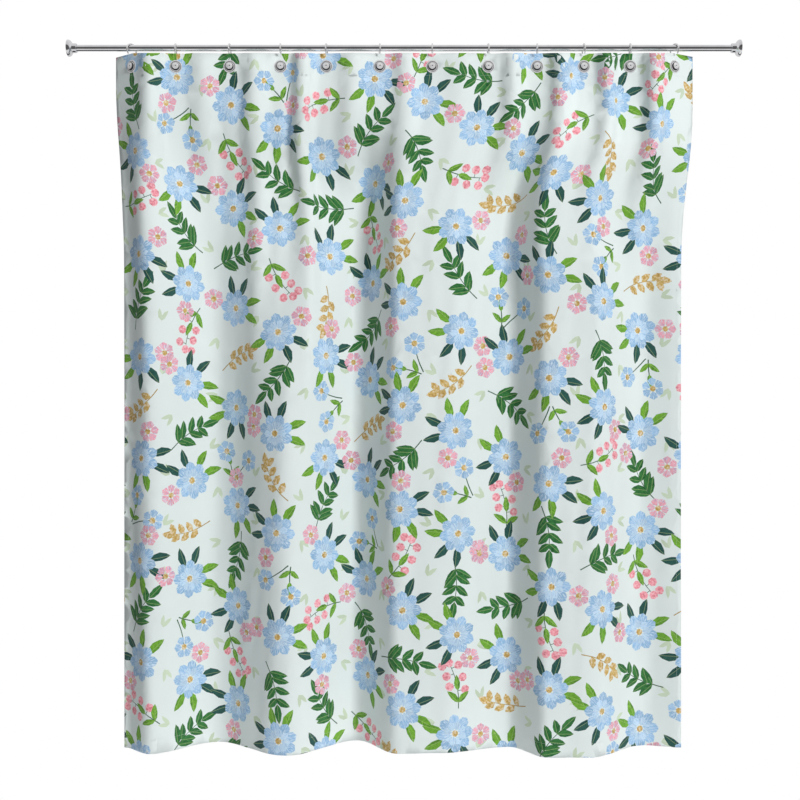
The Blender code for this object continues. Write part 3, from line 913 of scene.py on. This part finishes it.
def tube_mesh(name, path, radius, sides=16):
    """A round wire along a path in the YZ plane, with round ends."""
    path = np.array(path)
    ahead = np.gradient(path, axis=0)
    ahead /= np.linalg.norm(ahead, axis=1, keepdims=True)
    aside = np.stack([-ahead[:, 1], ahead[:, 0]], axis=1)
    ends = [(math.sin(a), math.cos(a)) for a in np.radians((80, 60, 38, 18))]
    stations = [(path[0] - ahead[0] * radius * s, aside[0], radius * c) for s, c in ends]
    stations += [(p, n, radius) for p, n in zip(path, aside)]
    stations += [(path[-1] + ahead[-1] * radius * s, aside[-1], radius * c) for s, c in ends[::-1]]
    points, faces = [], []
    for centre, out, size in stations:
        for k in range(sides):
            angle = math.tau * k / sides
            y, z = centre + out * size * math.cos(angle)
            points.append((size * math.sin(angle), y, z))
    for s in range(len(stations) - 1):
        for k in range(sides):
            j = (k + 1) % sides
            a, b = s * sides, (s + 1) * sides
            faces.append((a + k, a + j, b + j, b + k))
    last = (len(stations) - 1) * sides
    faces.append(tuple(range(sides))[::-1])
    faces.append(tuple(range(last, last + sides)))
    return mesh_of(name, points, faces)


def hook_path():
    """The wire from the knob, back through the eyelet, up, over the rod and down in front, as y, z."""
    low = EYELET_Z + WIRE_ABOVE_EYELET
    bend = 0.0085
    points = [(0.0035, low), (-0.0020, low)]
    for step in range(9):
        angle = math.radians(11.25 * step)
        forward = -(LOOP_RADIUS - bend) - bend * math.sin(angle)
        points.append((forward, low + bend - bend * math.cos(angle)))
    rise = low + bend
    points += [(-LOOP_RADIUS, rise + (-LOOP_DROP - rise) * s) for s in (0.25, 0.5, 0.75)]
    for step in range(25):
        angle = math.radians(180.0 - 7.5 * step)
        points.append((LOOP_RADIUS * math.cos(angle), LOOP_RADIUS * math.sin(angle) - LOOP_DROP))
    points += [(0.0157, -0.0078), (0.0150, -0.0112), (0.0137, -0.0140), (0.0118, -0.0160)]
    return [(-forward, height) for forward, height in points]


def knob_profile():
    """A button with a dimpled centre, a groove and a raised rim."""
    back = CLOTH_THICK / 2 + 0.0026
    top = back + 0.0052
    return rounded([
        (0.0, top - 0.0017), (0.0011, top - 0.0015), (0.0019, top - 0.0002), (0.0040, top),
        (0.0060, top - 0.0007), (0.0066, top - 0.0018), (0.0074, top - 0.0011), (0.0088, top - 0.0012),
        (0.0102, top - 0.0030), (0.0099, back + 0.0004), (0.0090, back), (0.0, back),
    ], 0.0006)


def eyelet_front_profile():
    """A flange with a rolled rim, a groove and a raised inner ring, and the barrel behind it."""
    back = CLOTH_THICK / 2 + 0.0001
    barrel_end = -CLOTH_THICK / 2 - 0.0022
    return rounded([
        (0.0034, back + 0.0012), (0.0044, back + 0.0021), (0.0098, back + 0.0021), (0.0122, back + 0.0016),
        (0.0134, back + 0.0008), (0.0143, back + 0.0011), (0.0158, back + 0.0017), (0.0171, back + 0.0011),
        (0.0175, back + 0.0003), (0.0172, back), (0.0046, back), (0.0046, barrel_end),
        (0.0034, barrel_end),
    ], 0.0005, closed=True)


def eyelet_back_profile():
    front = -CLOTH_THICK / 2 - 0.00135
    return rounded([
        (0.0051, front), (0.0158, front), (0.0165, front - 0.0006), (0.0156, front - 0.0013),
        (0.0080, front - 0.0010), (0.0058, front - 0.0016), (0.0051, front - 0.0012),
    ], 0.0004, closed=True)


def cover_profile():
    outside = [
        (0.0098, 0.0250), (0.0118, 0.0246), (0.0127, 0.0230), (0.0127, 0.0146), (0.0133, 0.0130),
        (0.0152, 0.0118), (0.0176, 0.0104), (0.0196, 0.0088), (0.0212, 0.0066), (0.0221, 0.0046),
        (0.02235, 0.0030), (0.02235, 0.0005),
    ]
    inside = [
        (0.0207, 0.0005), (0.0207, 0.0046), (0.0190, 0.0064), (0.0150, 0.0090), (0.0116, 0.0112),
        (0.0116, 0.0182), (0.00905, 0.0182), (0.00905, 0.0250),
    ]
    return rounded(outside + inside, 0.0007, closed=True)


def at_hook(obj, number, height):
    """Points the object's Z forwards, out of the cloth, at a hook."""
    obj.location = (HOOK_X[number], 0.0, height)
    obj.rotation_euler = (math.pi / 2, 0.0, math.radians(HOOK_TURN[number]))


def carried_by(number):
    return "curtain" if number == 0 else "hanger_" + LABELS[number]


def make_metal():
    bright = np.array([0.80, 0.80, 0.82])
    chrome = make_chrome("rod_chrome", bright, bright - 0.08, 0.07)
    silver = np.array([0.90, 0.89, 0.90])
    wire_chrome = make_chrome("hook_chrome", silver, silver * 0.86, 0.16)
    wire_chrome.node_tree.nodes["Principled BSDF"].inputs["Metallic"].default_value = 0.70
    # The knob and the eyelet flange get dark rings painted into their colour by radius: painted reflections,
    # with painted shade in the eyelet's groove.
    knob_chrome = make_turned_metal("knob_chrome", 0.35, 0.30, silver, ((-0.01, 0.0014), (0.0089, 0.0112)))
    washer_nickel = make_turned_metal("washer_nickel", 0.5, 0.32, silver, ())
    nickel = make_turned_metal("eyelet_nickel", 0.35, 0.30, silver, ((-0.01, 0.0110), (0.0128, 0.0141)))
    zinc = make_cast_metal("zinc_casting", np.array([0.60, 0.61, 0.62]), np.array([0.45, 0.46, 0.47]),
                           0.38, 700.0)
    steel = make_cast_metal("screw_steel", np.array([0.62, 0.62, 0.63]), np.array([0.44, 0.44, 0.46]),
                            0.26, 1500.0)

    length = ROD_HIGH[0] - ROD_LOW[0]
    inner = ROD_RADIUS - 0.0012
    tube = [(ROD_RADIUS, length), (ROD_RADIUS, 0.0), (inner, 0.0), (inner, length)]
    rod = add_object("rod_polished", lathe("rod_polished", rounded(tube, 0.0004, True), 96, True), chrome)
    rod.location = (ROD_LOW[0], 0.0, 0.0)
    rod.rotation_euler = (0.0, math.pi / 2, 0.0)
    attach(rod, "rod")
    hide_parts("rod_tube")

    cover_mesh = lathe("flange_polished", cover_profile(), 96, True)
    for side, x, way in (("left", 0.0, 1), ("right", WALL_SPAN, -1)):
        cover = add_object(side + "_flange_polished", cover_mesh, chrome)
        cover.location = (x, 0.0, 0.0)
        cover.rotation_euler = (0.0, way * math.pi / 2, 0.0)
        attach(cover, side + "_cover")
        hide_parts(side + "_cover")
        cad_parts[side + "_socket"].data.materials[0] = zinc
        for part in ("upper_wall_screw", "lower_wall_screw", "set_screw"):
            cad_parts[f"{side}_{part}"].data.materials[0] = steel

    wire_mesh = tube_mesh("hook_wire", hook_path(), WIRE_RADIUS)
    knob_mesh = lathe("hook_knob", knob_profile(), 48)
    front_mesh = lathe("eyelet_front", eyelet_front_profile(), 56, True)
    back_mesh = lathe("eyelet_back", eyelet_back_profile(), 56, True)
    eyelets = []
    for number, label in enumerate(LABELS):
        wire = add_object("wire_hook_" + label, wire_mesh, wire_chrome)
        wire.location = (HOOK_X[number], 0.0, 0.0)
        wire.rotation_euler = (0.0, 0.0, math.radians(HOOK_TURN[number]))
        knob = add_object("knob_" + label, knob_mesh, knob_chrome)
        at_hook(knob, number, EYELET_Z + WIRE_ABOVE_EYELET)
        front = add_object("eyelet_flange_" + label, front_mesh, nickel)
        at_hook(front, number, EYELET_Z)
        back = add_object("eyelet_washer_" + label, back_mesh, washer_nickel)
        at_hook(back, number, EYELET_Z)
        for piece, node, slot in ((wire, "hook_wire_", "hook_chrome"), (knob, "hook_knob_", "hook_chrome"),
                                  (front, "eyelet_front_", "eyelet_nickel"),
                                  (back, "eyelet_back_", "eyelet_nickel")):
            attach(piece, carried_by(number))
            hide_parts(node + label)
        eyelets += [front, back]
    return eyelets


# ---------------------------------------------------------------- the curtain

def make_curtain(eyelets):
    drape = Drape()
    printed = make_print_material()
    plain = make_plain_cloth_material("hem_cloth", linear(232, 240, 238))
    thread = make_thread_material()
    cloth = add_object("printed_curtain", make_cloth_mesh(drape, draw_print()), printed)
    lift = -CLOTH_THICK / 2 - 0.00005
    wide = round(CLOTH_WIDTH / COLUMN_STEP)
    inner = (HEM_TOP + 0.0003, CLOTH_DROP - HEM_BOTTOM - 0.0003)
    hems = [
        ("top_hem", (0.0, CLOTH_WIDTH), (0.0, HEM_TOP), wide, 4),
        ("bottom_hem", (0.0, CLOTH_WIDTH), (CLOTH_DROP - HEM_BOTTOM, CLOTH_DROP), wide, 3),
        ("left_hem", (0.0, HEM_SIDE), inner, 3, HEM_ROWS),
        ("right_hem", (CLOTH_WIDTH - HEM_SIDE, CLOTH_WIDTH), inner, 3, HEM_ROWS),
    ]
    pieces = []
    for name, us, drops, columns, rows in hems:
        mesh = strip_mesh(drape, name, us, drops, lift, HEM_THICK, columns, rows)
        pieces.append(add_object(name, mesh, plain))
    pieces.append(make_stitching(drape, thread))
    for piece in [cloth] + pieces:
        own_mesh(piece)
        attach(piece, "curtain")
    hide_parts("curtain_panel")


# ---------------------------------------------------------------- camera, light and stage

# What polished metal mirrors: (degrees up from level in front of the curtain, brightness)
SKY_BANDS = (
    (-180, 0.75), (-130, 0.75), (-123, 0.04), (-83, 0.04), (-76, 0.85), (-46, 0.85),
    (-36, 0.12), (28, 0.10), (38, 0.66), (110, 0.85), (180, 0.75),
)
SOFT_LIGHT = (0.96, 0.98, 1.0, 1.0)
SOFT_STRENGTH = 0.24
FLOOR_BELOW = 0.40

def make_camera():
    distance = 3.0
    frame_width = 2.16
    camera = bpy.data.cameras.new("camera")
    camera.sensor_width = 36.0
    camera.lens = 36.0 * distance / frame_width
    camera.clip_end = 50.0
    obj = bpy.data.objects.new("camera", camera)
    obj.location = (WALL_SPAN / 2 - 0.0108, -distance, -0.9499)
    obj.rotation_euler = (math.pi / 2, 0.0, 0.0)
    bpy.context.scene.collection.objects.link(obj)
    bpy.context.scene.camera = obj


def area_light(name, place, target, size, power):
    light = bpy.data.lights.new(name, "AREA")
    light.shape = "RECTANGLE"
    light.size, light.size_y = size
    light.energy = power
    obj = bpy.data.objects.new(name, light)
    obj.location = place
    obj.rotation_euler = (Vector(target) - Vector(place)).to_track_quat("-Z", "Y").to_euler()
    obj.visible_glossy = False
    bpy.context.scene.collection.objects.link(obj)


def make_world():
    """White to the camera, soft light on the cloth, and light and dark bands for the chrome."""
    world = bpy.data.worlds.new("studio")
    bpy.context.scene.world = world
    world.use_nodes = True
    nodes, links = world.node_tree.nodes, world.node_tree.links
    nodes.clear()

    def node(kind, *sources, **settings):
        made = nodes.new("ShaderNode" + kind)
        for key, value in settings.items():
            setattr(made, key, value)
        for socket, source in zip(made.inputs, sources):
            if isinstance(source, bpy.types.NodeSocket):
                links.new(source, socket)
            else:
                socket.default_value = source
        return made

    split = node("SeparateXYZ", node("TexCoord").outputs["Generated"])
    front = node("Math", split.outputs[1], -1.0, operation="MULTIPLY")
    tilt = node("Math", split.outputs[2], front.outputs[0], operation="ARCTAN2")
    share = node("MapRange", tilt.outputs[0], -math.pi, math.pi)
    ramp = node("ValToRGB", share.outputs[0])
    elements = ramp.color_ramp.elements
    for element, (degrees, _) in zip(elements, (SKY_BANDS[0], SKY_BANDS[-1])):
        element.position = (degrees + 180) / 360
    for degrees, _ in SKY_BANDS[1:-1]:
        elements.new((degrees + 180) / 360)
    for element, (_, value) in zip(elements, SKY_BANDS):
        element.color = (value, value, value, 1.0)
    mirror = node("Background", ramp.outputs[0])
    soft = node("Background", SOFT_LIGHT, SOFT_STRENGTH)
    white = node("Background", (1.0, 1.0, 1.0, 1.0))
    path = node("LightPath").outputs
    first = node("MixShader", path["Is Glossy Ray"], soft.outputs[0], mirror.outputs[0])
    second = node("MixShader", path["Is Camera Ray"], first.outputs[0], white.outputs[0])
    node("OutputWorld", second.outputs[0])


def make_stage():
    shader = Shader("pale_floor", roughness=0.9, Emission_Color=(1.0, 1.0, 1.0, 1.0),
                    Emission_Strength=0.24)
    speck = shader.noise(shader.object_place(), 12.0, 4.0)
    shader.colour(shader.mix(speck, linear(240, 241, 242), linear(250, 250, 250)))
    x, y, z = WALL_SPAN / 2, 0.6, cad_low[2] - FLOOR_BELOW
    points = [(x - 1.3, -y, z), (x + 1.3, -y, z), (x + 1.3, y, z), (x - 1.3, y, z)]
    floor = add_object("floor", mesh_of("floor", points, [(0, 1, 2, 3)], False), shader.material)


make_camera()
make_world()
make_stage()
middle = (WALL_SPAN / 2, 0.0, -0.9)
area_light("key", (6.8, -7.4, 2.9), middle, (2.6, 2.6), 760.0)
area_light("top", (1.0, -1.9, 1.1), (0.9, 0.0, -0.4), (1.4, 0.5), 5.5)
area_light("fill", (-0.6, -3.6, -0.6), middle, (2.0, 2.0), 9.0)
area_light("back_fill", (0.9, 3.2, 0.2), middle, (2.4, 2.4), 60.0)
bpy.context.scene.view_settings.view_transform = "Standard"

make_curtain(make_metal())
